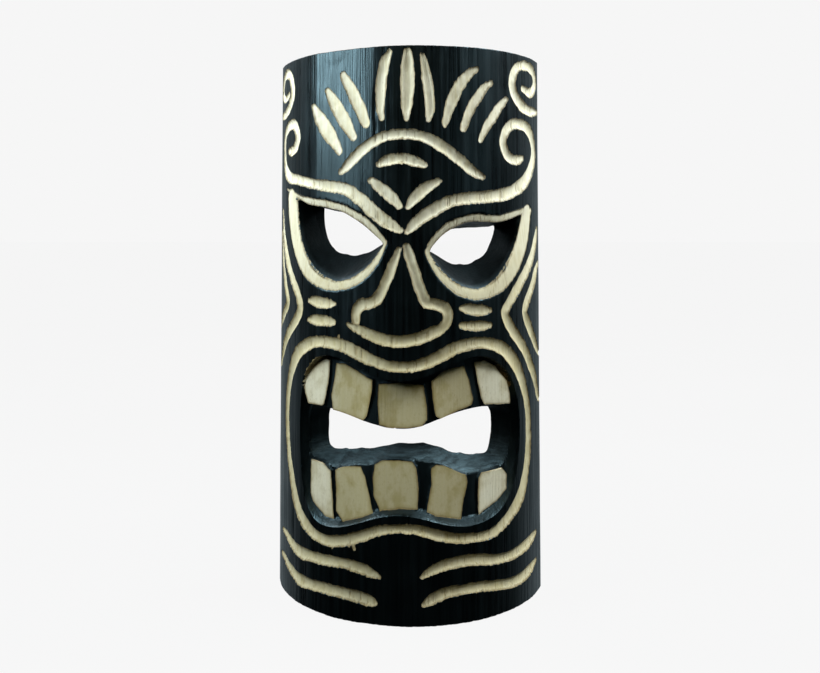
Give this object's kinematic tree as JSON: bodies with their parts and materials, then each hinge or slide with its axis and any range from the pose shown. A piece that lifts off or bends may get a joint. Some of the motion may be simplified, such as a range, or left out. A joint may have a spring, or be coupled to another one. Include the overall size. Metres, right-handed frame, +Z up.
{
  "type": "carved wall mask",
  "caption": "Half-round carved log mask with pierced eyes and mouth, rows of teeth, gouged pale lines and two hinged D-ring hangers on its back.",
  "frame": {"origin": "middle of the object's box at the level of the mask's flat bottom end", "axes": "+Z up along the log, the carved face looks along -Y, the hollow back and its hangers face +Y, +X is on the viewer's right when the face is seen from the front"},
  "size_m": [0.1574, 0.0674, 0.3058],
  "materials": {
    "painted_wood": "satin black paint over pale light wood, bare wood in the gouged lines and on the teeth",
    "strap_steel": "zinc plated sheet, satin",
    "ring_steel": "zinc plated wire, satin",
    "screw_steel": "yellow zinc plated"
  },
  "bodies": {
    "mask": {"carved_mask": "painted_wood", "left_hanger_strap": "strap_steel", "right_hanger_strap": "strap_steel", "hanger_screws": "screw_steel"},
    "left_ring": {"left_hanger_ring": "ring_steel"},
    "right_ring": {"right_hanger_ring": "ring_steel"}
  },
  "joints": [
    {"name": "left_ring_swing", "type": "hinge", "parent": "mask", "child": "left_ring", "pos_m": [-0.0653, 0.0318, 0.262], "axis": [1, 0, 0], "range_deg": [0, 180]},
    {"name": "right_ring_swing", "type": "hinge", "parent": "mask", "child": "right_ring", "pos_m": [0.0653, 0.0318, 0.262], "axis": [1, 0, 0], "range_deg": [0, 180]}
  ]
}
